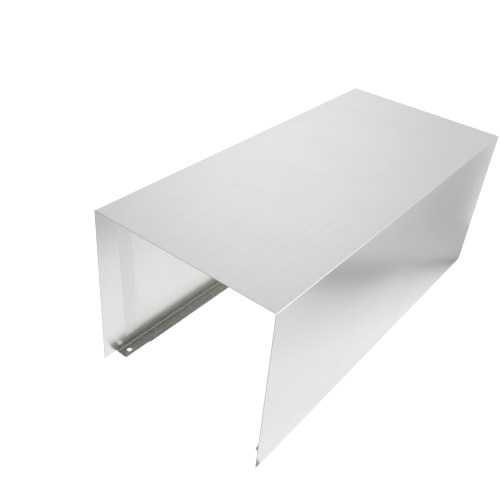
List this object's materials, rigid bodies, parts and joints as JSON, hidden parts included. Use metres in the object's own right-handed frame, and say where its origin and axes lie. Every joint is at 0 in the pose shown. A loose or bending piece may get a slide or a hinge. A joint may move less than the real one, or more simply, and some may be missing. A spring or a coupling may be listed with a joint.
{
  "type": "cooker hood chimney section",
  "caption": "Open-backed channel folded from stainless sheet, with inward wall flanges; the lower chimney section that covers a cooker hood's flue duct.",
  "frame": {"origin": "on the wall plane, under the middle of the front panel: the centre of the bounding box's bottom face", "axes": "+X across the front panel, +Y along the flue towards the end that is uppermost in use, +Z from the wall plane out to the front panel"},
  "size_m": [0.25, 0.558, 0.228],
  "materials": {
    "stainless_sheet": "satin brushed stainless steel, grain along the flue"
  },
  "bodies": {
    "root": {"chimney_section": "stainless_sheet"}
  },
  "joints": []
}
